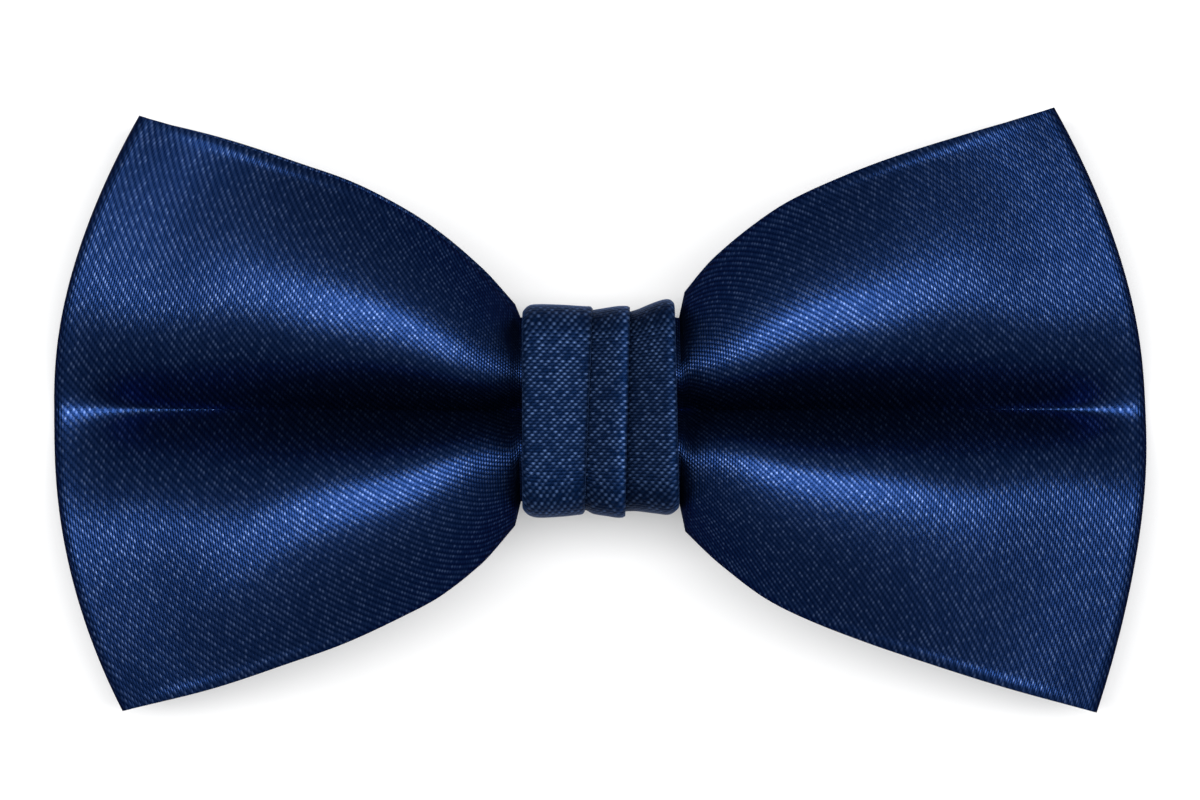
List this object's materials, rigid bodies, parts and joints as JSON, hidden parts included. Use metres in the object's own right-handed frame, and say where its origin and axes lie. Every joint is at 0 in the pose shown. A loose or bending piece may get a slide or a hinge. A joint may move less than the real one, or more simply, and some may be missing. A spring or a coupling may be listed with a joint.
{
  "type": "clip-on batwing bow tie",
  "caption": "Pre-tied bow tie of dark navy satin twill: two flared hollow wings pinched in a pleated centre band, with a plain bent steel collar clip behind.",
  "frame": {"origin": "on the surface that the bow tie lies on, under the middle of the bow", "axes": "+X towards the right wing as seen from the front, +Y towards the top edge as worn, +Z out of the front of the knot"},
  "size_m": [0.12, 0.0661, 0.0223],
  "materials": {
    "wing_satin": "glossy satin twill in dark navy, with fine diagonal ribs",
    "band_satin": "the same satin twill, turned, with pressed pleats",
    "clip_steel": "plain nickel-plated spring steel, lightly brushed"
  },
  "bodies": {
    "root": {"bow_loop": "wing_satin", "knot_band": "band_satin", "collar_clip": "clip_steel"}
  },
  "joints": []
}
